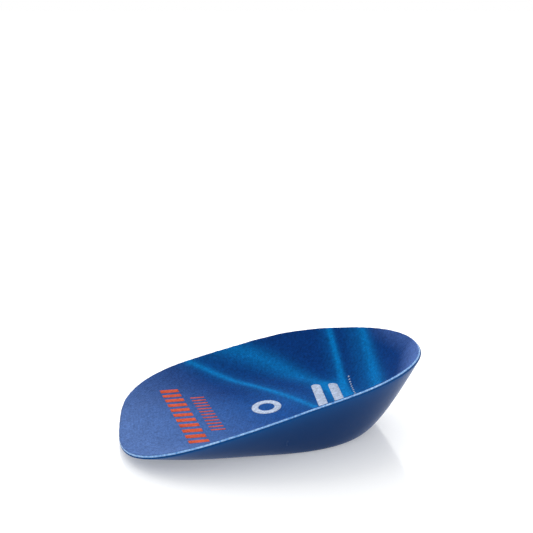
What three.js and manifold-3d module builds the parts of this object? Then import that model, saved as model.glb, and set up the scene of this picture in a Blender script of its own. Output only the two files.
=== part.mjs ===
// A gel heel cup: a moulded gel body with a textile top cover bonded into it, lying on its flat underside.
// Millimetres, +Z up. +Y points to the thin front edge, -Y to the back of the heel, and +X across.
// The origin is the middle of the bounding box's base.
import * as THREE from "three";
import { mergeVertices } from "three/addons/utils/BufferGeometryUtils.js";
import Module from "manifold-3d";

const wasm = await Module();
wasm.setup();

// Driving sizes of the cup. Distances along the cup count from the cover's edge at the back of the heel.
const COVER_LENGTH = 98.6;
const COVER_WIDTH = 67.0;
const WIDEST_AT = 64.5; // where the rim is widest
const HEEL_HEIGHT = 26.4; // cover's edge at the back of the heel
const FRONT_HEIGHT = 2.8; // cover's edge at the thin front
const SEAT_HEIGHT = 8.6; // cover's surface under the middle of the heel
const COVER_THICKNESS = 1.0;
const BOND_GAP = 0.3; // clearance between the cover and the gel
const LIP_THICKNESS = 0.6; // gel at its rim, under the cover's edge

// The flat part of the cup's inside, which the inner walls rise from.
const SEAT_WIDTH = 36.0;
const SEAT_BACK_AT = 21.0;
const SEAT_FRONT_AT = 91.0;
const SEAT_WIDEST_AT = 54.0;

// The flat underside, and how far beyond it the outer wall, if run straight down, would meet the floor.
const BASE_WIDTH = 45.0;
const BASE_BACK_AT = 17.5;
const BASE_FRONT_MARGIN = 3.0; // from the flat underside's front to the cover's front edge
const BASE_WIDEST_AT = 50.0;
const TURN_BACK = 5.7;
const TURN_SIDE = 2.0;
const TURN_FRONT = 0.8;

// Round pockets in the underside, in straight rows and columns, with a raised chevron in each.
const POCKET_DIAMETER = 7.0;
const POCKET_DEPTH = 1.2;
const POCKET_PITCH = 8.24;
const FIRST_ROW_AT = 27.0;
const POCKETS_IN_ROW = [3, 3, 5, 5, 5, 5, 5, 5]; // from the heel to the front
const CHANNEL_WIDTH = 1.2; // joins neighbouring pockets
const CHANNEL_DEPTH = 0.7;
const CHEVRON_HEIGHT = 0.8;
const CHEVRON_STROKE = 0.9;

// How blunt each outline is behind and in front of its widest line: 2 is an ellipse, more is squarer.
const BACK_POWER = 2.2;
const FRONT_POWER = 3.1;
const UNDERSIDE_BACK_POWER = 2.3;
const UNDERSIDE_FRONT_POWER = 4.0;
const WALL_POWER = 1.5; // how late the inner wall steepens towards the rim

// Height of the cover's edge. along is a share of the cover's length, rise a share of the way from the
// front's height to the heel's.
const RIM_LINE = [
  { along: 0.0, rise: 1.0 },
  { along: 0.1, rise: 0.935 },
  { along: 0.2, rise: 0.866 },
  { along: 0.3, rise: 0.798 },
  { along: 0.4, rise: 0.717 },
  { along: 0.5, rise: 0.608 },
  { along: 0.6, rise: 0.49 },
  { along: 0.7, rise: 0.372 },
  { along: 0.8, rise: 0.256 },
  { along: 0.9, rise: 0.132 },
  { along: 1.0, rise: 0.0 },
];

// Height of the cup's floor down its middle. rise is a share of the way from the front's height to the
// seat's.
const FLOOR_LINE = [
  { along: 0.0, rise: 1.0 },
  { along: 0.25, rise: 1.0 },
  { along: 0.4, rise: 0.91 },
  { along: 0.5, rise: 0.78 },
  { along: 0.65, rise: 0.53 },
  { along: 0.8, rise: 0.3 },
  { along: 0.9, rise: 0.14 },
  { along: 1.0, rise: 0.0 },
];

// Fineness of the facets.
const AROUND = 72;
const WALL_RINGS = 6;
const FLOOR_RINGS = 4;
const OUTER_RINGS = 7;
const POCKET_SIDES = 20;

const HEEL_EDGE = -COVER_LENGTH / 2;
const placeAlong = (distance) => HEEL_EDGE + distance;

// An outline seen from above, blunt or round at each end, about the middle of its widest line.
function outline(width, backAt, widestAt, frontAt, backPower, frontPower) {
  return {
    halfWidth: width / 2,
    middle: placeAlong(widestAt),
    back: widestAt - backAt,
    front: frontAt - widestAt,
    backPower,
    frontPower,
  };
}

const RIM = outline(COVER_WIDTH, 0, WIDEST_AT, COVER_LENGTH, BACK_POWER, FRONT_POWER);
const SEAT = outline(SEAT_WIDTH, SEAT_BACK_AT, SEAT_WIDEST_AT, SEAT_FRONT_AT, BACK_POWER, FRONT_POWER);
const BASE = outline(
  BASE_WIDTH,
  BASE_BACK_AT,
  BASE_WIDEST_AT,
  COVER_LENGTH - BASE_FRONT_MARGIN,
  UNDERSIDE_BACK_POWER,
  UNDERSIDE_FRONT_POWER,
);
const TURN = {
  ...BASE,
  halfWidth: BASE.halfWidth + TURN_SIDE,
  back: BASE.back + TURN_BACK,
  front: BASE.front + TURN_FRONT,
};

// The point of an outline in one direction from its middle: angle 0 is towards the heel, and a quarter
// turn is +X.
function outlinePoint(shape, angle) {
  const across = Math.sin(angle);
  const along = -Math.cos(angle);
  const behind = along < 0;
  const power = behind ? shape.backPower : shape.frontPower;
  const reach = behind ? shape.back : shape.front;
  const powers = Math.abs(across / shape.halfWidth) ** power + Math.abs(along / reach) ** power;
  const radius = powers ** (-1 / power);
  return new THREE.Vector2(radius * across, shape.middle + radius * along);
}

// A smooth line through a table's rows, read at one share of the cover's length.
function readLine(table, share) {
  const at = THREE.MathUtils.clamp(share, 0, 1);
  const row = Math.min(table.findLastIndex((r) => r.along <= at), table.length - 2);
  const [a, b] = [table[row], table[row + 1]];
  const [before, after] = [table[row - 1] ?? a, table[row + 2] ?? b];
  const step = b.along - a.along;
  const slopeA = ((b.rise - before.rise) / (b.along - before.along)) * step;
  const slopeB = ((after.rise - a.rise) / (after.along - a.along)) * step;
  const t = (at - a.along) / step;
  const [t2, t3] = [t * t, t * t * t];
  const ends = (2 * t3 - 3 * t2 + 1) * a.rise + (3 * t2 - 2 * t3) * b.rise;
  return ends + (t3 - 2 * t2 + t) * slopeA + (t3 - t2) * slopeB;
}

const shareAlong = (y) => (y - HEEL_EDGE) / COVER_LENGTH;
const rimHeight = (y) => FRONT_HEIGHT + (HEEL_HEIGHT - FRONT_HEIGHT) * readLine(RIM_LINE, shareAlong(y));
const floorHeight = (y) => FRONT_HEIGHT + (SEAT_HEIGHT - FRONT_HEIGHT) * readLine(FLOOR_LINE, shareAlong(y));

const ANGLES = Array.from({ length: AROUND }, (_, i) => (2 * Math.PI * i) / AROUND);

// The cover's upper surface, as rings of points from the middle of the seat out to the rim.
function coverSurface() {
  const pole = new THREE.Vector3(0, SEAT.middle, floorHeight(SEAT.middle));
  const floorRing = (share) =>
    ANGLES.map((angle) => {
      const p = outlinePoint(SEAT, angle);
      const y = SEAT.middle + share * (p.y - SEAT.middle);
      return new THREE.Vector3(share * p.x, y, floorHeight(y));
    });
  const wallRing = (share) =>
    ANGLES.map((angle) => {
      const rim = outlinePoint(RIM, angle);
      const p = outlinePoint(SEAT, angle).lerp(rim, share);
      const floor = floorHeight(p.y);
      return new THREE.Vector3(p.x, p.y, floor + (rimHeight(rim.y) - floor) * share ** WALL_POWER);
    });
  const rings = [];
  for (let i = 1; i <= FLOOR_RINGS; i++) {
    rings.push(floorRing(i / FLOOR_RINGS));
  }
  for (let i = 1; i <= WALL_RINGS; i++) {
    rings.push(wallRing(i / WALL_RINGS));
  }
  return { pole, rings };
}

// A closed body from an upper middle point, through rings, to a lower middle point.
function bodyOfRings(upper, rings, lower) {
  const points = [upper, ...rings.flat(), lower];
  const at = (ring, i) => 1 + ring * AROUND + (i % AROUND);
  const last = points.length - 1;
  const index = [];
  for (let i = 0; i < AROUND; i++) {
    index.push(0, at(0, i), at(0, i + 1));
    for (let ring = 0; ring < rings.length - 1; ring++) {
      index.push(at(ring, i), at(ring + 1, i), at(ring + 1, i + 1));
      index.push(at(ring, i), at(ring + 1, i + 1), at(ring, i + 1));
    }
    index.push(last, at(rings.length - 1, i + 1), at(rings.length - 1, i));
  }
  return new THREE.BufferGeometry().setFromPoints(points).setIndex(index);
}

// The same surface, moved square to itself and downwards by one distance.
function sunkSurface({ pole, rings }, distance) {
  const sheet = bodyOfRings(pole, rings, pole);
  const sides = sheet.index.array;
  const upperOnly = [];
  for (let i = 0; i < sides.length; i += 3) {
    const touchesLowerPole = sides[i] === rings.length * AROUND + 1;
    if (!touchesLowerPole) {
      upperOnly.push(sides[i], sides[i + 1], sides[i + 2]);
    }
  }
  sheet.setIndex(upperOnly).computeVertexNormals();
  const normals = sheet.getAttribute("normal");
  const sunk = (point, i) => {
    const normal = new THREE.Vector3().fromBufferAttribute(normals, i);
    return normal.multiplyScalar(-distance).add(point);
  };
  return {
    pole: sunk(pole, 0),
    rings: rings.map((ring, r) => ring.map((point, i) => sunk(point, 1 + r * AROUND + i))),
  };
}

// The textile cover: a sheet of even thickness, cut square at the rim.
function makeCover(surface) {
  const underside = sunkSurface(surface, COVER_THICKNESS);
  return bodyOfRings(surface.pole, [...surface.rings, ...underside.rings.toReversed()], underside.pole);
}

// The gel's outside, as rings from its lip down and in to the edge of the flat underside.
function outerWall(lip) {
  const onFloor = (shape, k) => new THREE.Vector3(...outlinePoint(shape, ANGLES[k]), 0);
  const curves = lip.map(
    (top, k) => new THREE.QuadraticBezierCurve3(top, onFloor(TURN, k), onFloor(BASE, k)),
  );
  const rings = [];
  for (let i = 1; i <= OUTER_RINGS; i++) {
    rings.push(curves.map((curve) => curve.getPoint(i / OUTER_RINGS)));
  }
  return rings;
}

// The gel body before its pockets are cut.
function makeGelBlank(surface) {
  const inside = sunkSurface(surface, COVER_THICKNESS + BOND_GAP);
  const lip = sunkSurface(surface, COVER_THICKNESS + BOND_GAP + LIP_THICKNESS).rings.at(-1);
  const underneath = new THREE.Vector3(0, BASE.middle, 0);
  return bodyOfRings(inside.pole, [...inside.rings, lip, ...outerWall(lip)], underneath);
}

function toSolid(geometry) {
  const bare = geometry.clone();
  bare.deleteAttribute("normal");
  bare.deleteAttribute("uv");
  const merged = mergeVertices(bare, 1e-4);
  return new wasm.Manifold(
    new wasm.Mesh({
      numProp: 3,
      vertProperties: new Float32Array(merged.getAttribute("position").array),
      triVerts: new Uint32Array(merged.index.array),
    }),
  );
}

function toGeometry(solid) {
  const mesh = solid.getMesh();
  const positions = new Float32Array(mesh.numVert * 3);
  for (let i = 0; i < mesh.numVert; i++) {
    const start = i * mesh.numProp;
    positions.set(mesh.vertProperties.subarray(start, start + 3), i * 3);
  }
  const geometry = new THREE.BufferGeometry();
  geometry.setAttribute("position", new THREE.BufferAttribute(positions, 3));
  geometry.setIndex(new THREE.BufferAttribute(new Uint32Array(mesh.triVerts), 1));
  return geometry;
}

// How far a cutting tool starts below the underside, so that it cuts clean through it.
const CUT_START = 1.0;
const CHANNEL_RUN_IN = 0.2; // how far each end of a channel runs into its pocket

// Where a chevron's tip and the ends of its arms are, as shares of the pocket's diameter from its middle.
const CHEVRON_TIP = 0.27;
const CHEVRON_END = 0.08;
const CHEVRON_REACH = 0.33;

// A chevron pointing to -X, standing on a pocket's floor.
function chevronTool() {
  const tip = -CHEVRON_TIP * POCKET_DIAMETER;
  const end = CHEVRON_END * POCKET_DIAMETER;
  const reach = CHEVRON_REACH * POCKET_DIAMETER;
  const stroke = CHEVRON_STROKE * Math.SQRT2;
  const shape = new THREE.Shape([
    new THREE.Vector2(tip, 0),
    new THREE.Vector2(end, -reach),
    new THREE.Vector2(end + stroke / 2, -reach + stroke / 2),
    new THREE.Vector2(tip + stroke, 0),
    new THREE.Vector2(end + stroke / 2, reach - stroke / 2),
    new THREE.Vector2(end, reach),
  ]);
  const tool = new THREE.ExtrudeGeometry(shape, { depth: CHEVRON_HEIGHT + CUT_START, bevelEnabled: false });
  return toSolid(tool.translate(0, 0, POCKET_DEPTH - CHEVRON_HEIGHT));
}

// What one pocket takes out of the gel: a round well, less its chevron.
function pocketTool() {
  const height = POCKET_DEPTH + CUT_START;
  const well = new THREE.CylinderGeometry(POCKET_DIAMETER / 2, POCKET_DIAMETER / 2, height, POCKET_SIDES);
  well.rotateX(Math.PI / 2).translate(0, 0, POCKET_DEPTH - height / 2);
  return toSolid(well).subtract(chevronTool());
}

// The channel between two neighbouring pockets.
function channelTool(from, to) {
  const [dx, dy] = [Math.abs(to.x - from.x), Math.abs(to.y - from.y)];
  const height = CHANNEL_DEPTH + CUT_START;
  const overlap = POCKET_DIAMETER / 2 - Math.sqrt((POCKET_DIAMETER / 2) ** 2 - (CHANNEL_WIDTH / 2) ** 2);
  const length = POCKET_PITCH - POCKET_DIAMETER + 2 * (overlap + CHANNEL_RUN_IN);
  const [sizeX, sizeY] = dx > dy ? [length, CHANNEL_WIDTH] : [CHANNEL_WIDTH, length];
  const box = new THREE.BoxGeometry(sizeX, sizeY, height);
  const middle = from.clone().add(to).multiplyScalar(0.5);
  return toSolid(box.translate(middle.x, middle.y, CHANNEL_DEPTH - height / 2));
}

// The middles of the pockets, row by row from the heel.
function pocketRows() {
  return POCKETS_IN_ROW.map((count, row) => {
    const y = placeAlong(FIRST_ROW_AT + row * POCKET_PITCH);
    const offset = (count - 1) / 2;
    return Array.from({ length: count }, (_, i) => new THREE.Vector2((i - offset) * POCKET_PITCH, y));
  });
}

// How far from one pitch, as a share of it, two pockets may be and still be joined by a channel.
const NEIGHBOUR_TOLERANCE = 0.01;

function makeGelCup(surface) {
  const rows = pocketRows();
  const centres = rows.flat();
  const pocket = pocketTool();
  const tools = centres.map((c) => pocket.translate([c.x, c.y, 0]));
  const neighbours = (a, b) => Math.abs(a.distanceTo(b) / POCKET_PITCH - 1) < NEIGHBOUR_TOLERANCE;
  centres.forEach((a, i) => {
    const later = centres.slice(i + 1).filter((b) => neighbours(a, b));
    tools.push(...later.map((b) => channelTool(a, b)));
  });
  return toGeometry(toSolid(makeGelBlank(surface)).subtract(wasm.Manifold.union(tools)));
}

function part(name, geometry, color, roughness) {
  geometry.computeVertexNormals();
  const mesh = new THREE.Mesh(geometry, new THREE.MeshStandardMaterial({ color, roughness, metalness: 0 }));
  mesh.name = name;
  return mesh;
}

const surface = coverSurface();
const heelCup = new THREE.Group();
heelCup.add(part("gel_cup", makeGelCup(surface), 0x12326b, 0.25));
heelCup.add(part("top_cover", makeCover(surface), 0x2a5ca6, 0.85));

// The origin goes to the middle of the base.
const bounds = new THREE.Box3().setFromObject(heelCup);
heelCup.position.set(-(bounds.min.x + bounds.max.x) / 2, -(bounds.min.y + bounds.max.y) / 2, -bounds.min.z);

export default heelCup;
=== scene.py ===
# The looks of a gel heel cup: a fine gel body with its dimpled underside, and a knitted, printed top cover.
# Sizes are in millimetres and become metres as each mesh is made.
import math

import bpy
import numpy as np
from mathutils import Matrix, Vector, noise
from mathutils.bvhtree import BVHTree
from mathutils.geometry import delaunay_2d_cdt


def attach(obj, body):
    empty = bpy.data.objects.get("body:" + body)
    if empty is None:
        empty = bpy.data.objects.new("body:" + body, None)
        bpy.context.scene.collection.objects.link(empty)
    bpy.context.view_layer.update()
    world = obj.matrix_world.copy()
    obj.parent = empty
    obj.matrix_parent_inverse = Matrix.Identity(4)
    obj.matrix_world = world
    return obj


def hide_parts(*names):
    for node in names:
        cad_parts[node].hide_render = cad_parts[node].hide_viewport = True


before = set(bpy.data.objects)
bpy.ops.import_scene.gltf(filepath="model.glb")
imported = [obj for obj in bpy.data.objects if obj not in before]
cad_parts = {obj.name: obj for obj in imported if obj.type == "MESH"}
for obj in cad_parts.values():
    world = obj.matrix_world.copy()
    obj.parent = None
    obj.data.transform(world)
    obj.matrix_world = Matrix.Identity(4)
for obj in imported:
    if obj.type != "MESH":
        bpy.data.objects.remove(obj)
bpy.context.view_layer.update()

MM = 0.001

# Driving sizes, the same as the solids'. Distances along the cup count from the cover's edge at the heel.
COVER_LENGTH = 98.6
COVER_WIDTH = 67.0
WIDEST_AT = 64.5
HEEL_HEIGHT = 26.4
FRONT_HEIGHT = 2.8
SEAT_HEIGHT = 8.6
SEAT = dict(width=36.0, back=21.0, widest=54.0, front=91.0, back_power=2.2, front_power=3.1)
RIM = dict(width=COVER_WIDTH, back=0.0, widest=WIDEST_AT, front=COVER_LENGTH, back_power=2.2, front_power=3.1)
BASE = dict(width=45.0, back=17.5, widest=50.0, front=95.6, back_power=2.3, front_power=4.0)
TURN = dict(width=49.0, back=11.8, widest=50.0, front=96.4, back_power=2.3, front_power=4.0)
WALL_POWER = 1.5
WALL_FOOT = 0.2  # the share of the wall over which its foot is eased
RIM_LINE = {
    "along": [0.0, 0.1, 0.2, 0.3, 0.4, 0.5, 0.6, 0.7, 0.8, 0.9, 1.0],
    "rise": [1.0, 0.935, 0.866, 0.798, 0.717, 0.608, 0.49, 0.372, 0.256, 0.132, 0.0],
}
FLOOR_LINE = {
    "along": [0.0, 0.25, 0.4, 0.5, 0.65, 0.8, 0.9, 1.0],
    "rise": [1.0, 1.0, 0.91, 0.78, 0.53, 0.3, 0.14, 0.0],
}

# The cover's trimmed edge and the gel's lip below it.
COVER_THICKNESS = 0.85
EDGE_TOP_RADIUS = 0.22
EDGE_LOW_RADIUS = 0.12
EDGE_INSET = 0.1  # how far back from the rim the edge is trimmed
EDGE_WAVERS = [(1.2, 0.1), (9.0, 0.12)]  # size and height of the waves: trimmed cloth is never quite even
EDGE_DROPS = [0.12, 0.5, 0.9]  # rings on the cut, as shares of the way down it
UNDER_COVER = COVER_THICKNESS + 0.02
LIP_OFFSET = 1.3  # from the cover's face to the gel's outer lip, square to the face
SOLID_LIP_OFFSET = 1.9  # the same in the solids, whose cover and bond are thicker
LIP_RADIUS = 0.35
LIP_GAP = 0.03  # between the cover's underside and the lip's outer edge
LIP_TUCK = 0.15  # how far under the cover the lip's top starts
THIN_GLOW_FADE = 3.6  # how far below the rim the painted glow of light through the thin gel still reaches

# The pockets of the underside. The chevron's sizes are shares of a pocket's radius.
POCKET_RADIUS = 3.5
POCKET_DEPTH = 1.2
POCKET_DISH = 0.12  # how much deeper its middle is than its edge
POCKET_PITCH = 8.24
POCKET_MARGIN = 0.35  # how far the fine cells go past a pocket's edge
FIRST_ROW_AT = 27.0
POCKETS_IN_ROW = [3, 3, 5, 5, 5, 5, 5, 5]
CHANNEL_WIDTH = 1.2
CHANNEL_DEPTH = 0.7
CHEVRON_HEIGHT = 0.8
CHEVRON_STROKE = 0.9
CHEVRON_TIP = 0.4
CHEVRON_END = 0.26
CHEVRON_REACH = 0.62
EDGE_SOFTNESS = 0.5  # the width over which a pocket's edge turns down
SAME_PLACE = 0.01  # points nearer than this count as one

# Fineness of the meshes.
AROUND = 480
FLOOR_RINGS = 26
WALL_RINGS = 34
OUTER_RINGS = 36
HIDDEN_FLOOR_RINGS = 6
HIDDEN_RINGS = 10
CELLS_IN_PITCH = 36
CELL = POCKET_PITCH / CELLS_IN_PITCH
INK_STEP = 0.9  # between points inside a printed mark

# The knit and the ink.
KNIT_WALE = 0.62
KNIT_COURSE = 0.5
INK_THICKNESS = 0.05  # above the cover's face, and as much below it

HEEL_EDGE = -COVER_LENGTH / 2
ANGLES = np.arange(AROUND) * 2 * math.pi / AROUND

# Soft azure stripes of the print. Ends and bend are across and along in millimetres: the bend is how far the
# middle lies to the side of the straight line. Width is at each end.
STRIPES = [
    {"ends": [(34.5, 78.0), (-8.5, 35.0)], "bend": -2.9, "width": [0.95, 1.25], "strength": 0.7},
    {"ends": [(34.5, 78.0), (-8.5, 35.0)], "bend": -2.9, "width": [3.0, 4.5], "strength": 0.2},
    {"ends": [(34.5, 62.5), (4.0, 25.2)], "bend": -3.4, "width": [2.2, 2.6], "strength": 0.38},
    {"ends": [(36.0, 68.5), (6.0, 29.0)], "bend": -3.4, "width": [3.4, 4.0], "strength": 0.38},
    {"ends": [(32.0, 26.2), (-1.0, 23.8)], "bend": -1.9, "width": [0.95, 1.3], "strength": 0.95},
    {"ends": [(34.0, 28.0), (-2.0, 25.0)], "bend": -1.9, "width": [2.0, 4.0], "strength": 0.2},
    {"ends": [(26.0, 14.9), (-5.0, 14.0)], "bend": -1.6, "width": [1.4, 2.2], "strength": 0.72},
    {"ends": [(27.0, 17.6), (-5.0, 16.4)], "bend": -1.6, "width": [3.0, 4.0], "strength": 0.3},
    {"ends": [(9.0, 28.0), (-12.0, 25.5)], "bend": 0.0, "width": [4.5, 6.0], "strength": 0.5},
]


def camera():
    """The photo's view: a long lens to the side of the cup, low above the floor."""
    distance, azimuth, elevation = 0.300, math.radians(-97.01), math.radians(26.48)
    look_down, look_round = math.radians(16.48), math.radians(-96.71)
    data = bpy.data.cameras.new("camera")
    data.sensor_width = 36.0
    data.lens = 59.45
    data.clip_start = 0.01
    item = bpy.data.objects.new("camera", data)
    bpy.context.collection.objects.link(item)
    item.location = Vector((
        math.sin(azimuth) * math.cos(elevation),
        -math.cos(azimuth) * math.cos(elevation),
        math.sin(elevation),
    )) * distance
    item.rotation_euler = (math.pi / 2 - look_down, 0, look_round)
    bpy.context.scene.camera = item


def outline(shape, angles=ANGLES):
    """The outline seen from above. Angle 0 is towards the heel, a quarter turn is +X."""
    across, along = np.sin(angles), -np.cos(angles)
    behind = along < 0
    power = np.where(behind, shape["back_power"], shape["front_power"])
    reach = np.where(behind, shape["widest"] - shape["back"], shape["front"] - shape["widest"])
    radius = (np.abs(across / (shape["width"] / 2)) ** power + np.abs(along / reach) ** power) ** (-1 / power)
    return np.stack([radius * across, HEEL_EDGE + shape["widest"] + radius * along], axis=1)


def read_line(table, share):
    """A smooth line through a table's rows, read at shares of the cover's length."""
    along, rise = np.array(table["along"]), np.array(table["rise"])
    at = np.clip(share, 0, 1)
    row = np.clip(np.searchsorted(along, at, side="right") - 1, 0, len(along) - 2)
    before, after = np.maximum(row - 1, 0), np.minimum(row + 2, len(along) - 1)
    step = along[row + 1] - along[row]
    slope_a = (rise[row + 1] - rise[before]) / (along[row + 1] - along[before]) * step
    slope_b = (rise[after] - rise[row]) / (along[after] - along[row]) * step
    t = (at - along[row]) / step
    ends = (2 * t**3 - 3 * t**2 + 1) * rise[row] + (3 * t**2 - 2 * t**3) * rise[row + 1]
    return ends + (t**3 - 2 * t**2 + t) * slope_a + (t**3 - t**2) * slope_b


def rim_height(y):
    return FRONT_HEIGHT + (HEEL_HEIGHT - FRONT_HEIGHT) * read_line(RIM_LINE, (y - HEEL_EDGE) / COVER_LENGTH)


def floor_height(y):
    return FRONT_HEIGHT + (SEAT_HEIGHT - FRONT_HEIGHT) * read_line(FLOOR_LINE, (y - HEEL_EDGE) / COVER_LENGTH)


def wall_rise(share):
    """How far up the wall a share of the way out is. It rises like the solids' wall, from a softer foot."""
    eased = (share**2 + WALL_FOOT**2) ** (WALL_POWER / 2) - WALL_FOOT**WALL_POWER
    return eased / ((1 + WALL_FOOT**2) ** (WALL_POWER / 2) - WALL_FOOT**WALL_POWER)


def cover_face(floor_rings, wall_rings):
    """The cover's upper face, as rings of points from near the middle of the seat out to the rim."""
    seat, rim = outline(SEAT), outline(RIM)
    middle = HEEL_EDGE + SEAT["widest"]
    rings = []
    for share in np.arange(1, floor_rings + 1) / floor_rings:
        y = middle + share * (seat[:, 1] - middle)
        rings.append(np.stack([share * seat[:, 0], y, floor_height(y)], axis=1))
    for share in np.arange(1, wall_rings + 1) / wall_rings:
        plan = seat + (rim - seat) * share
        floor = floor_height(plan[:, 1])
        height = floor + (rim_height(rim[:, 1]) - floor) * wall_rise(share)
        rings.append(np.column_stack([plan, height]))
    pole = np.array([0.0, middle, float(floor_height(np.array(middle)))])
    return pole, np.array(rings)


def face_directions(pole, rings):
    """For each point of the face: its upward normal, and the way along the face out to the rim."""
    outward = np.gradient(rings, axis=0)
    outward[0] = rings[0] - pole
    around = np.roll(rings, -1, axis=1) - np.roll(rings, 1, axis=1)
    normal = np.cross(outward, around)
    normal /= np.linalg.norm(normal, axis=2, keepdims=True)
    normal *= np.sign(normal[..., 2:3])
    outward /= np.linalg.norm(outward, axis=2, keepdims=True)
    return normal, outward


def shift_of_part():
    """How far the middle of the part's box, its origin, is from the middle of the cover's outline."""
    pole, rings = cover_face(FLOOR_RINGS, WALL_RINGS)
    normal, _ = face_directions(pole, rings)
    lip = rings[-1] - normal[-1] * SOLID_LIP_OFFSET
    return -(lip[:, 1].min() + lip[:, 1].max()) / 2


PART_SHIFT = shift_of_part()


def shift_to_part(points):
    return points + np.array([0.0, PART_SHIFT, 0.0])


def curve(t, start, turn, end):
    """A point a share of the way from start to end on a curve that turns towards a third point."""
    return (1 - t) ** 2 * start + 2 * t * (1 - t) * turn + t * t * end


def ring_faces(count):
    """Quads between rings that follow one another in a list of points, after its first point."""
    faces = []
    for ring in range(count - 1):
        a, b = 1 + ring * AROUND, 1 + (ring + 1) * AROUND
        faces += [(a + i, b + i, b + (i + 1) % AROUND, a + (i + 1) % AROUND) for i in range(AROUND)]
    return faces


def fan_faces(middle, first, turned=False):
    fan = [(middle, first + i, first + (i + 1) % AROUND) for i in range(AROUND)]
    return [face[::-1] for face in fan] if turned else fan


def add_piece(name, points, faces, materials, node):
    """A mesh in metres that stands for a node of the part, if one is named."""
    mesh = bpy.data.meshes.new(name)
    mesh.from_pydata((np.array(points) * MM).tolist(), [], faces)
    mesh.validate()
    mesh.update()
    mesh.shade_smooth()
    piece = bpy.data.objects.new(name, mesh)
    bpy.context.collection.objects.link(piece)
    for material in materials:
        mesh.materials.append(material)
    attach(piece, "root")
    if node:
        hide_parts(node)
    return piece


class Nodes:
    """Short ways to build a material's nodes."""

    def __init__(self, name):
        self.material = bpy.data.materials.new(name)
        self.material.use_nodes = True
        self.tree = self.material.node_tree
        self.shader = self.tree.nodes["Principled BSDF"]

    def add(self, kind, **settings):
        item = self.tree.nodes.new(kind)
        for key, value in settings.items():
            setattr(item, key, value)
        return item

    def link(self, value, socket):
        if isinstance(value, bpy.types.NodeSocket):
            self.tree.links.new(value, socket)
        else:
            socket.default_value = value

    def math(self, operation, *values, clamp=False):
        item = self.add("ShaderNodeMath", operation=operation, use_clamp=clamp)
        for value, socket in zip(values, item.inputs):
            self.link(value, socket)
        return item.outputs[0]

    def mix(self, share, a, b):
        item = self.add("ShaderNodeMix", data_type="RGBA")
        self.link(share, item.inputs["Factor"])
        self.link(a, item.inputs["A"])
        self.link(b, item.inputs["B"])
        return item.outputs["Result"]

    def place(self):
        """The point in millimetres, as three numbers."""
        coordinates = self.add("ShaderNodeTexCoord")
        split = self.add("ShaderNodeSeparateXYZ")
        self.link(coordinates.outputs["Object"], split.inputs[0])
        return [self.math("MULTIPLY", out, 1 / MM) for out in split.outputs]

    def noise(self, size, detail=2.0, roughness=0.5):
        """Noise whose lumps are about size millimetres across."""
        coordinates = self.add("ShaderNodeTexCoord")
        item = self.add("ShaderNodeTexNoise")
        self.link(coordinates.outputs["Object"], item.inputs["Vector"])
        item.inputs["Scale"].default_value = 1 / (size * MM)
        item.inputs["Detail"].default_value = detail
        item.inputs["Roughness"].default_value = roughness
        return item.outputs["Fac"]

    def spread(self, value, low, high):
        """A value from 0 to 1 as one from low to high."""
        return self.math("MULTIPLY_ADD", value, high - low, low)

    def ramp(self, value, zero_at, one_at):
        """0 where the value is zero_at, 1 where it is one_at, even between them and level beyond."""
        scale = 1 / (one_at - zero_at)
        return self.math("MULTIPLY_ADD", value, scale, -zero_at * scale, clamp=True)

    def bump(self, height, distance, strength=1.0):
        """Relief of this height in millimetres."""
        item = self.add("ShaderNodeBump")
        self.link(height, item.inputs["Height"])
        item.inputs["Distance"].default_value = distance * MM
        item.inputs["Strength"].default_value = strength
        self.link(item.outputs["Normal"], self.shader.inputs["Normal"])

    def set(self, **values):
        for key, value in values.items():
            self.link(value, self.shader.inputs[key.replace("_", " ").title()])


def gel_material():
    """Deep navy gel, with a painted glow of light through it where it is thin."""
    n = Nodes("gel")
    thick = n.mix(n.noise(22.0), (0.001, 0.022, 0.095, 1), (0.001, 0.03, 0.12, 1))
    # Painted glow: the light that passes through the gel where it is thin, painted as a brighter blue.
    thin_glow = n.add("ShaderNodeAttribute", attribute_name="thin_glow").outputs["Fac"]
    colour = n.mix(thin_glow, thick, (0.003, 0.055, 0.2, 1))
    n.set(base_color=colour, roughness=n.spread(n.noise(5.0), 0.2, 0.3))
    n.set(sheen_weight=0.22, sheen_roughness=0.4, sheen_tint=(0.35, 0.55, 1.0, 1))
    n.shader.inputs["Specular IOR Level"].default_value = 0.1
    n.shader.inputs["IOR"].default_value = 1.3
    ripple = n.math("MULTIPLY", n.noise(9.0, detail=1.0), 6.0)
    grain = n.math("MULTIPLY", n.noise(1.2, detail=2.0), 0.5)
    n.bump(n.math("ADD", ripple, grain), 0.03, 0.6)
    return n.material


def knit_height(n):
    """Fine knitting: columns of stitches whose two legs slant towards each other."""
    uv = n.add("ShaderNodeUVMap", uv_map="knit")
    split = n.add("ShaderNodeSeparateXYZ")
    n.link(uv.outputs[0], split.inputs[0])
    across = n.math("FRACT", n.math("DIVIDE", split.outputs[0], KNIT_WALE))
    column = n.math("ABSOLUTE", n.math("SUBTRACT", across, 0.5))
    leg = n.math("MULTIPLY_ADD", column, 1.1, n.math("DIVIDE", split.outputs[1], KNIT_COURSE))
    stitch = n.math("MULTIPLY_ADD", n.math("COSINE", n.math("MULTIPLY", leg, 2 * math.pi)), 0.5, 0.5)
    aside = n.math("MULTIPLY", column, 2.0)
    groove = n.math("SUBTRACT", 1.0, n.math("POWER", aside, 4.0))
    ridge = n.math("SUBTRACT", 1.0, n.math("POWER", n.math("SUBTRACT", 1.0, aside), 6.0))
    return n.math("MULTIPLY", n.math("MULTIPLY", stitch, groove), ridge)


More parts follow.
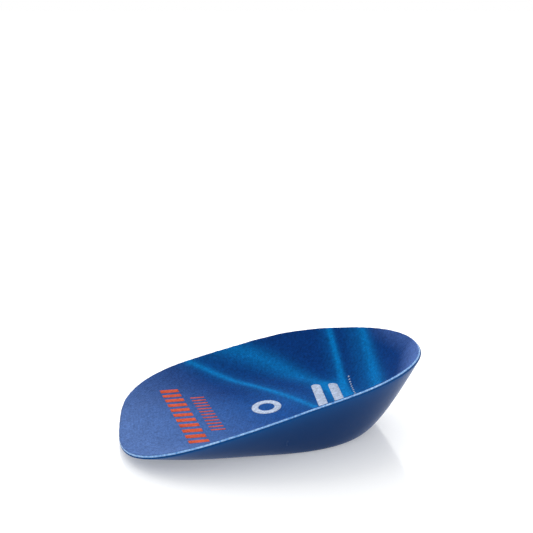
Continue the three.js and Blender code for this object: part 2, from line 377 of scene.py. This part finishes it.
def stripe_mask(n, x, along, ends, bend, width, strength):
    """How much of a soft stripe's colour is at this point: all on its line, fading to its sides and ends."""
    (x1, s1), (x2, s2) = ends
    length = math.hypot(x2 - x1, s2 - s1)
    ux, us = (x2 - x1) / length, (s2 - s1) / length
    dx, ds = n.math("SUBTRACT", x, x1), n.math("SUBTRACT", along, s1)
    share = n.math("MULTIPLY_ADD", dx, ux / length, n.math("MULTIPLY", ds, us / length))
    aside = n.math("SUBTRACT", n.math("MULTIPLY", dx, us), n.math("MULTIPLY", ds, ux))
    bow = n.math("MULTIPLY", n.math("MULTIPLY", share, n.math("SUBTRACT", 1.0, share)), 4 * bend)
    wide = n.math("MULTIPLY_ADD", share, width[1] - width[0], width[0])
    ratio = n.math("DIVIDE", n.math("SUBTRACT", aside, bow), n.math("MAXIMUM", wide, 0.2))
    profile = n.math("EXPONENT", n.math("MULTIPLY", n.math("MULTIPLY", ratio, ratio), -1.0))

    # A stripe is whole from the far rim to a fifth of its length past its near end, and then fades.
    beyond = n.math("SUBTRACT", n.math("ABSOLUTE", n.math("SUBTRACT", share, 0.6)), 0.6)
    fade = n.math("SUBTRACT", 1.0, n.math("MULTIPLY", n.math("MAXIMUM", beyond, 0.0), 5.0), clamp=True)
    return n.math("MULTIPLY", n.math("MULTIPLY", profile, fade), strength)


def knit_finish(n, colour, gap_shade=0.8):
    """Knitted cloth of one colour: relief, painted shade in the gaps between stitches, uneven fibres and a
    soft sheen.
    """
    knit = knit_height(n)
    # Painted shade: the gaps between stitches are darker, as if shaded.
    shade = n.spread(knit, gap_shade, 1.06)
    speck = n.spread(n.noise(0.8, detail=3.0, roughness=0.75), 0.2, 1.8)
    cloud = n.spread(n.noise(2.2, detail=2.0), 0.8, 1.2)
    value = n.add("ShaderNodeHueSaturation")
    n.link(colour, value.inputs["Color"])
    n.link(n.math("MULTIPLY", n.math("MULTIPLY", shade, speck), cloud), value.inputs["Value"])
    n.set(base_color=value.outputs[0], roughness=n.spread(n.noise(14.0), 0.62, 0.78))
    n.set(sheen_weight=0.05, sheen_roughness=0.3, sheen_tint=(0.35, 0.6, 1.0, 1))
    n.shader.inputs["Specular IOR Level"].default_value = 0.04
    fuzz = n.math("MULTIPLY", n.noise(0.25, detail=3.0), 0.4)
    n.bump(n.math("ADD", knit, fuzz), 0.09, 0.8)


def cover_material():
    """Navy cloth with painted sheen at the back of the heel and over the thin front and painted light from
    behind on the near side of the seat, printed with soft azure stripes.
    """
    n = Nodes("cover_print")
    x, y, z = n.place()
    along = n.math("SUBTRACT", y, HEEL_EDGE)
    navy_with_painted_light = n.mix(n.noise(30.0), (0.001, 0.032, 0.165, 1), (0.003, 0.048, 0.23, 1))

    # Painted sheen at the back of the heel, and half as much on the heel's wall high up.
    heel_sheen = n.ramp(n.math("MULTIPLY_ADD", x, 0.36, along), 6.6, 0.6)
    high = n.math("MULTIPLY", n.ramp(z, 20.5, 25.0), n.ramp(along, 14.0, 6.0))
    heel_sheen = n.math("MAXIMUM", heel_sheen, n.math("MULTIPLY", high, 0.5))
    navy_with_painted_light = n.mix(heel_sheen, navy_with_painted_light, (0.08, 0.16, 0.44, 1))

    # Painted light from behind makes the near side of the seat a little brighter, and painted sheen makes the
    # thin front paler.
    near = n.math("MULTIPLY", n.ramp(x, 12.0, -2.0), n.ramp(along, 30.0, 45.0))
    navy_with_painted_light = n.mix(near, navy_with_painted_light, (0.008, 0.075, 0.3, 1))
    front = n.ramp(n.math("MULTIPLY_ADD", x, -45 / 80, along), 55.0, 100.0)
    navy_with_painted_light = n.mix(n.math("MULTIPLY", front, 0.85), navy_with_painted_light, (0.095, 0.18, 0.44, 1))

    azure = 0.0
    for stripe in STRIPES:
        azure = n.math("ADD", stripe_mask(n, x, along, **stripe), azure, clamp=True)
    knit_finish(n, n.mix(azure, navy_with_painted_light, (0.001, 0.188, 0.53, 1)))
    return n.material


def ink_material(name, colour):
    """Ink printed on the knit, which still shows through it."""
    n = Nodes(name)
    darker = tuple(0.86 * c for c in colour[:3]) + (1,)
    knit_finish(n, n.mix(n.noise(3.0), colour, darker), gap_shade=0.88)
    return n.material


def cut_edge_material():
    """The pale backing of the cloth, seen where it is trimmed."""
    n = Nodes("cut_edge")
    lightness = n.math("MULTIPLY_ADD", n.noise(0.9, detail=3.0, roughness=0.7), 3.4, -1.2, clamp=True)
    colour = n.mix(lightness, (0.06, 0.24, 0.6, 1), (0.37, 0.6, 0.93, 1))
    n.set(base_color=colour, roughness=0.8, sheen_weight=0.3)
    n.bump(n.noise(0.3, detail=3.0), 0.1)
    return n.material


def cover_edge(rim, normal, outward):
    """Rings of the trimmed edge, from the upper face over its two rounded corners to the underside."""
    waver = np.array([
        sum(noise.noise(Vector(p / size)) * height for size, height in EDGE_WAVERS) for p in rim
    ])
    rim = rim + outward * waver[:, None] - outward * EDGE_INSET
    edge = []
    for turn in np.radians([0, 22.5, 45, 67.5, 90]):
        back, down = EDGE_TOP_RADIUS * (1 - math.sin(turn)), EDGE_TOP_RADIUS * (1 - math.cos(turn))
        edge.append(rim - outward * back - normal * down)
    for drop in EDGE_DROPS:
        down = EDGE_TOP_RADIUS + (COVER_THICKNESS - EDGE_TOP_RADIUS - EDGE_LOW_RADIUS) * drop
        edge.append(rim - normal * down)
    for turn in np.radians([0, 45, 90]):
        back, up = EDGE_LOW_RADIUS * (1 - math.cos(turn)), EDGE_LOW_RADIUS * (1 - math.sin(turn))
        edge.append(rim - outward * back - normal * (COVER_THICKNESS - up))
    return edge


def make_cover():
    """The textile cover, and its flat size in metres."""
    pole, rings = cover_face(FLOOR_RINGS, WALL_RINGS)
    normal, outward = face_directions(pole, rings)
    hidden = np.linspace(len(rings) - 2, 1, HIDDEN_RINGS).astype(int)
    underside = rings[hidden] - normal[hidden] * COVER_THICKNESS
    every = np.concatenate([rings[:-1], cover_edge(rings[-1], normal[-1], outward[-1]), underside])
    points = np.concatenate([[pole], every.reshape(-1, 3), [pole - [0, 0, COVER_THICKNESS]]])
    count = len(every)
    faces = fan_faces(0, 1) + ring_faces(count)
    faces += fan_faces(len(points) - 1, 1 + (count - 1) * AROUND, turned=True)
    piece = add_piece(
        "textile_cover",
        shift_to_part(points),
        faces,
        [cover_material(), cut_edge_material()],
        "top_cover",
    )

    # Cloth coordinates: how far each point is from the middle along the cloth, and which way.
    path = np.concatenate([[np.tile(pole, (AROUND, 1))], every])
    reach = np.cumsum(np.linalg.norm(np.diff(path, axis=0), axis=2), axis=0)
    cloth = np.stack([reach * np.sin(ANGLES), -reach * np.cos(ANGLES)], axis=2).reshape(-1, 2)
    cloth = np.concatenate([[[0, 0]], cloth, [[0, 0]]])
    layer = piece.data.uv_layers.new(name="knit")
    corners = np.zeros(len(piece.data.loops), dtype=np.int32)
    piece.data.loops.foreach_get("vertex_index", corners)
    layer.data.foreach_set("uv", cloth[corners].astype(np.float32).ravel())

    # The cut shows from the first ring of EDGE_DROPS, after the five of the upper corner, into the
    # lower corner.
    cut_from = len(rings) - 1 + 5
    cut_to = cut_from + len(EDGE_DROPS) + 1
    slots = np.zeros(len(faces), dtype=np.int32)
    slots[AROUND * (1 + cut_from): AROUND * (1 + cut_to)] = 1
    piece.data.polygons.foreach_set("material_index", slots)
    flat = reach[len(rings) - 1]
    size = np.array([flat[AROUND // 4] + flat[3 * AROUND // 4], flat[0] + flat[AROUND // 2]]) * MM
    return piece, size


def pocket_centres():
    rows = []
    for row, count in enumerate(POCKETS_IN_ROW):
        y = HEEL_EDGE + FIRST_ROW_AT + row * POCKET_PITCH
        rows += [((i - (count - 1) / 2) * POCKET_PITCH, y) for i in range(count)]
    return np.array(rows)


def links(centres):
    """Pairs of neighbouring pockets."""
    pairs = []
    for i, a in enumerate(centres):
        for b in centres[i + 1:]:
            if abs(np.linalg.norm(a - b) - POCKET_PITCH) < SAME_PLACE:
                pairs.append((a, b))
    return pairs


def distance_to_line(x, y, a, b):
    """How far points are from the stretch between a and b."""
    d = np.subtract(b, a)
    share = np.clip(((x - a[0]) * d[0] + (y - a[1]) * d[1]) / (d @ d), 0, 1)
    return np.hypot(x - a[0] - share * d[0], y - a[1] - share * d[1])


def soft_step(value, width):
    """0 below minus half the width, 1 above half the width, and smooth between."""
    t = np.clip(value / width + 0.5, 0, 1)
    return t * t * (3 - 2 * t)


def underside_relief(x, y, centres):
    """How far the underside lies above the floor at each point."""
    depth = np.zeros_like(x)
    for a, b in links(centres):
        near = distance_to_line(x, y, a, b)
        depth = np.maximum(depth, CHANNEL_DEPTH * soft_step(CHANNEL_WIDTH / 2 - near, EDGE_SOFTNESS))
    tip = (-CHEVRON_TIP * POCKET_RADIUS, 0.0)
    arms = [(CHEVRON_END * POCKET_RADIUS, side * CHEVRON_REACH * POCKET_RADIUS) for side in (-1, 1)]
    for cx, cy in centres:
        dx, dy = x - cx, y - cy
        from_middle = np.hypot(dx, dy)
        dish = POCKET_DISH * (1 - (from_middle / POCKET_RADIUS) ** 2)
        well = (POCKET_DEPTH + dish) * soft_step(POCKET_RADIUS - from_middle, EDGE_SOFTNESS)
        near = np.minimum(*[distance_to_line(dx, dy, tip, end) for end in arms])
        chevron = CHEVRON_HEIGHT * soft_step(CHEVRON_STROKE / 2 - near, EDGE_SOFTNESS)
        in_pocket = from_middle < POCKET_RADIUS + EDGE_SOFTNESS
        depth = np.where(in_pocket, np.maximum(depth, well) - chevron, depth)
    return depth


def underside_cells(centres):
    """A grid of fine square cells. Returns its points, and which cells lie on or between the pockets."""
    columns, rows = max(POCKETS_IN_ROW), len(POCKETS_IN_ROW)
    across = np.arange(columns * CELLS_IN_PITCH + 1) * CELL - columns / 2 * POCKET_PITCH
    along = HEEL_EDGE + FIRST_ROW_AT - POCKET_PITCH / 2 + np.arange(rows * CELLS_IN_PITCH + 1) * CELL
    x, y = np.meshgrid(across, along, indexing="ij")
    mx, my = x[:-1, :-1] + CELL / 2, y[:-1, :-1] + CELL / 2
    near_pocket = np.min([np.hypot(mx - cx, my - cy) for cx, cy in centres], axis=0)
    near_link = np.min([distance_to_line(mx, my, a, b) for a, b in links(centres)], axis=0)
    keep = (near_pocket < POCKET_RADIUS + POCKET_MARGIN) | (near_link < CHANNEL_WIDTH)

    # A square with a pocket at each corner is kept whole.
    for cx, cy in centres:
        square = [(cx + i * POCKET_PITCH, cy + j * POCKET_PITCH) for i in (0, 1) for j in (0, 1)]
        if all(np.min(np.linalg.norm(centres - corner, axis=1)) < SAME_PLACE for corner in square):
            keep |= (mx > cx) & (mx < cx + POCKET_PITCH) & (my > cy) & (my < cy + POCKET_PITCH)
    return x, y, keep


def gel_sides():
    """The gel's face under the cover, its lip and its outer wall, as rings down to the base. Also the lip."""
    pole, rings = cover_face(HIDDEN_FLOOR_RINGS, HIDDEN_RINGS)
    normal, _ = face_directions(pole, rings)
    inside = rings[:-1] - normal[:-1] * UNDER_COVER

    fine_pole, fine = cover_face(FLOOR_RINGS, WALL_RINGS)
    fine_normal, fine_out = face_directions(fine_pole, fine)
    rim, rim_normal, rim_out = fine[-1], fine_normal[-1], fine_out[-1]
    start = rim - rim_out * EDGE_INSET
    edge = [
        start - rim_out * LIP_TUCK - rim_normal * UNDER_COVER,
        start - rim_normal * (UNDER_COVER + LIP_GAP),
    ]
    lip = rim - rim_normal * LIP_OFFSET
    turn, foot = [np.column_stack([outline(shape), np.zeros(AROUND)]) for shape in (TURN, BASE)]
    down_wall = (turn - lip) / np.linalg.norm(turn - lip, axis=1, keepdims=True)
    above_lip, below_lip = start - rim_normal * (LIP_OFFSET - LIP_RADIUS), lip + down_wall * LIP_RADIUS
    edge += [curve(t, above_lip, lip, below_lip) for t in (0.25, 0.5, 0.75, 1.0)]
    shares = np.linspace(0, 0.9, OUTER_RINGS) ** 0.9 * 0.9**0.1
    wall = [curve(t, below_lip, turn, foot) for t in shares[1:]]
    return pole - [0, 0, UNDER_COVER], np.concatenate([inside, edge, wall]), lip


def border_of_cells(keep, ids):
    """The sides of kept cells that have no kept cell beyond them, as pairs of point numbers."""
    padded = np.pad(keep, 1)
    sides = [
        {"beyond": (1, 0), "ends": [(0, 0), (1, 0)]},
        {"beyond": (1, 2), "ends": [(0, 1), (1, 1)]},
        {"beyond": (0, 1), "ends": [(0, 0), (0, 1)]},
        {"beyond": (2, 1), "ends": [(1, 0), (1, 1)]},
    ]
    border = []
    for i, j in zip(*np.nonzero(keep)):
        for side in sides:
            if not padded[i + side["beyond"][0], j + side["beyond"][1]]:
                border.append(tuple(ids[i + di, j + dj] for di, dj in side["ends"]))
    return border


def make_gel():
    middle, rings, lip = gel_sides()
    points = [middle, *rings.reshape(-1, 3)]
    faces = fan_faces(0, 1) + ring_faces(len(rings))
    loop = list(range(1 + (len(rings) - 1) * AROUND, 1 + len(rings) * AROUND))

    # The underside: fine cells over the pockets.
    centres = pocket_centres()
    x, y, keep = underside_cells(centres)
    height = underside_relief(x, y, centres)
    used = np.zeros_like(x, dtype=bool)
    for i, j in ((0, 0), (0, 1), (1, 0), (1, 1)):
        used[i: keep.shape[0] + i, j: keep.shape[1] + j] |= keep
    ids = np.full(x.shape, -1)
    ids[used] = len(points) + np.arange(used.sum())
    points += np.stack([x[used], y[used], height[used]], axis=1).tolist()
    i, j = np.nonzero(keep)
    faces += np.stack([ids[i, j], ids[i, j + 1], ids[i + 1, j + 1], ids[i + 1, j]], axis=1).tolist()

    # Plain gel from the cells out to the wall.
    border = border_of_cells(keep, ids)
    every_id = loop + sorted({k for pair in border for k in pair})
    local = {k: index for index, k in enumerate(every_id)}
    edges = [(local[loop[k]], local[loop[(k + 1) % AROUND]]) for k in range(AROUND)]
    edges += [(local[a], local[b]) for a, b in border]
    flat = [Vector((points[k][0], points[k][1])) for k in every_id]
    plan, _, triangles, origin, _, _ = delaunay_2d_cdt(flat, edges, [], 1, 1e-6)
    for triangle in triangles:
        centre = sum((plan[k] for k in triangle), Vector((0, 0))) / 3
        ci, cj = int((centre.x - x[0, 0]) // CELL), int((centre.y - y[0, 0]) // CELL)
        if 0 <= ci < keep.shape[0] and 0 <= cj < keep.shape[1] and keep[ci, cj]:
            continue
        faces.append([every_id[origin[k][0]] for k in triangle][::-1])
    piece = add_piece("gel_body", shift_to_part(np.array(points)), faces, [gel_material()], "gel_cup")

    # How much painted glow of light through the thin gel: all of it under the rim, and less the further down
    # the wall.
    thin_glow = np.zeros(len(points))
    below_lip = np.linalg.norm(rings - lip, axis=2)
    thin_glow[1: 1 + below_lip.size] = np.exp(-below_lip / THIN_GLOW_FADE).ravel()
    piece.data.attributes.new("thin_glow", "FLOAT", "POINT").data.foreach_set("value", thin_glow.astype(np.float32))
    return piece


def is_inside(p, ring):
    """Whether a point is inside a closed outline."""
    inside = False
    for a, b in zip(ring, [*ring[1:], ring[0]]):
        if (a[1] > p[1]) != (b[1] > p[1]) and p[0] < (b[0] - a[0]) * (p[1] - a[1]) / (b[1] - a[1]) + a[0]:
            inside = not inside
    return inside


def cut_to_triangles(shape):
    """A flat shape as small triangles, so that it can follow the cover. Returns points and triangles."""
    outer = [Vector(p) for p in shape["outer"]]
    holes = [[Vector(p) for p in hole] for hole in shape.get("holes", [])]

    def in_hole(p):
        return any(is_inside(p, hole) for hole in holes)

    points, edges = [], []
    for ring in [outer, *holes]:
        start = len(points)
        points += ring
        edges += [(start + k, start + (k + 1) % len(ring)) for k in range(len(ring))]
    low = [min(p[k] for p in outer) for k in (0, 1)]
    high = [max(p[k] for p in outer) for k in (0, 1)]
    for x in np.arange(low[0] + INK_STEP / 2, high[0], INK_STEP):
        for y in np.arange(low[1] + INK_STEP / 2, high[1], INK_STEP):
            if is_inside((x, y), outer) and not in_hole((x, y)):
                points.append(Vector((x, y)))
    plan, _, triangles, _, _, _ = delaunay_2d_cdt(points, edges, [], 1, 1e-5)
    kept = []
    for a, b, c in triangles:
        if not in_hole((plan[a] + plan[b] + plan[c]) / 3):
            anticlockwise = (plan[b] - plan[a]).cross(plan[c] - plan[a]) > 0
            kept.append((a, b, c) if anticlockwise else (c, b, a))
    return plan, kept


def slab_on_cover(name, shapes, material, tree):
    """Flat shapes, given by their outlines seen from above, laid on the cover as a thin layer of ink."""
    points, faces = [], []
    for shape in shapes:
        plan, triangles = cut_to_triangles(shape)
        first = len(points)
        for p in plan:
            spot, normal, _, _ = tree.ray_cast(Vector((p.x * MM, p.y * MM, 1.0)), Vector((0, 0, -1)))
            points.append(np.array(spot / MM + normal * INK_THICKNESS))
            points.append(np.array(spot / MM - normal * INK_THICKNESS))
        outer_sides = {}
        for t in triangles:
            faces.append([first + 2 * k for k in t])
            faces.append([first + 2 * k + 1 for k in t[::-1]])
            for a, b in zip(t, [*t[1:], t[0]]):
                if (b, a) in outer_sides:
                    del outer_sides[(b, a)]
                else:
                    outer_sides[(a, b)] = True
        for a, b in outer_sides:
            faces.append([first + 2 * a, first + 2 * a + 1, first + 2 * b + 1, first + 2 * b])
    piece = add_piece(name, points, faces, [material], None)
    layer = piece.data.uv_layers.new(name="knit")
    for corner, loop in zip(layer.data, piece.data.loops):
        spot = piece.data.vertices[loop.vertex_index].co
        corner.uv = (spot.x / MM, spot.y / MM)


def on_part(x, along):
    """A place on the cover, given by how far it is across and along, in the part's frame."""
    return (x, HEEL_EDGE + along + PART_SHIFT)


def row_of_bars(first, last, count, width, length, slant=0.35):
    """Plain bars side by side in a straight row from one place to another, leaning by their slant."""
    (x1, s1), (x2, s2) = first, last
    row = math.hypot(x2 - x1, s2 - s1)
    ux, us = (x2 - x1) / row, (s2 - s1) / row
    bars = []
    for share in np.arange(count) / (count - 1):
        corners = []
        for side, end in ((-1, -1), (1, -1), (1, 1), (-1, 1)):
            beside = share * row + side * width / 2 + end * slant * length / 2
            up = end * length / 2
            corners.append(on_part(x1 + ux * beside - us * up, s1 + us * beside + ux * up))
        bars.append({"outer": corners})
    return bars


def circle(x, along, radius, sides=40):
    turns = np.arange(sides) * 2 * math.pi / sides
    return [on_part(x + radius * math.cos(t), along + radius * math.sin(t)) for t in turns]


def rounded_stripe(first, last, width):
    """A stripe with round ends from one place to another."""
    heading = math.atan2(last[1] - first[1], last[0] - first[0])
    outer = []
    for (x, along), turned in ((first, math.pi / 2), (last, -math.pi / 2)):
        for t in heading + turned + np.linspace(0, math.pi, 13):
            outer.append(on_part(x + width / 2 * math.cos(t), along + width / 2 * math.sin(t)))
    return {"outer": outer}


def make_print(cover):
    """Plain printed marks: leaning orange bars, a pale ring, two long pale stripes and a row of dots."""
    data = cover.data
    tree = BVHTree.FromPolygons([v.co for v in data.vertices], [p.vertices for p in data.polygons])
    bold = row_of_bars((-21.0, 73.4), (19.0, 82.0), count=11, width=2.3, length=6.0)
    fine = row_of_bars((-14.6, 67.0), (10.8, 72.6), count=12, width=0.75, length=4.4)
    slab_on_cover("orange_bars", bold + fine, ink_material("orange_ink", (0.62, 0.09, 0.035, 1)), tree)
    ring = {"outer": circle(-3.6, 50.4, 4.9), "holes": [circle(-3.6, 50.4, 2.7)[::-1]]}
    stripes = [rounded_stripe((-8.0, along), (8.0, along), 3.3) for along in (26.0, 31.9)]
    dots = [{"outer": circle(-7.4 + 1.3 * k, 19.9, 0.3, sides=10)} for k in range(15)]
    pale = ink_material("pale_ink", (0.5, 0.58, 0.74, 1))
    slab_on_cover("pale_marks", [ring, *stripes, *dots], pale, tree)


def floor_and_light():
    """A plain white floor in even white light, with one large soft lamp behind the cup."""
    scene = bpy.context.scene
    scene.view_settings.view_transform = "Standard"
    scene.view_settings.look = "None"
    bpy.ops.mesh.primitive_plane_add(size=40.0, location=(0, 0, 0))
    floor = bpy.context.object
    floor.name = "floor"
    n = Nodes("floor")
    n.set(base_color=(0.78, 0.78, 0.77, 1), roughness=0.12, emission_color=(0.92, 0.95, 1.0, 1))
    n.shader.inputs["Emission Strength"].default_value = 0.29
    floor.data.materials.append(n.material)

    world = bpy.data.worlds.new("studio")
    world.use_nodes = True
    background = world.node_tree.nodes["Background"]
    background.inputs["Color"].default_value = (1.0, 1.0, 1.0, 1)
    background.inputs["Strength"].default_value = 1.0
    scene.world = world

    light = bpy.data.lights.new("back_softbox", "AREA")
    light.size = 1.3
    light.energy = 6.8
    lamp = bpy.data.objects.new("back_softbox", light)
    bpy.context.collection.objects.link(lamp)
    lamp.location = (0.72, 0.1, 0.62)
    lamp.rotation_euler = (-lamp.location).to_track_quat("-Z", "Y").to_euler()


camera()
cover, cloth_size = make_cover()
gel = make_gel()
make_print(cover)
floor_and_light()
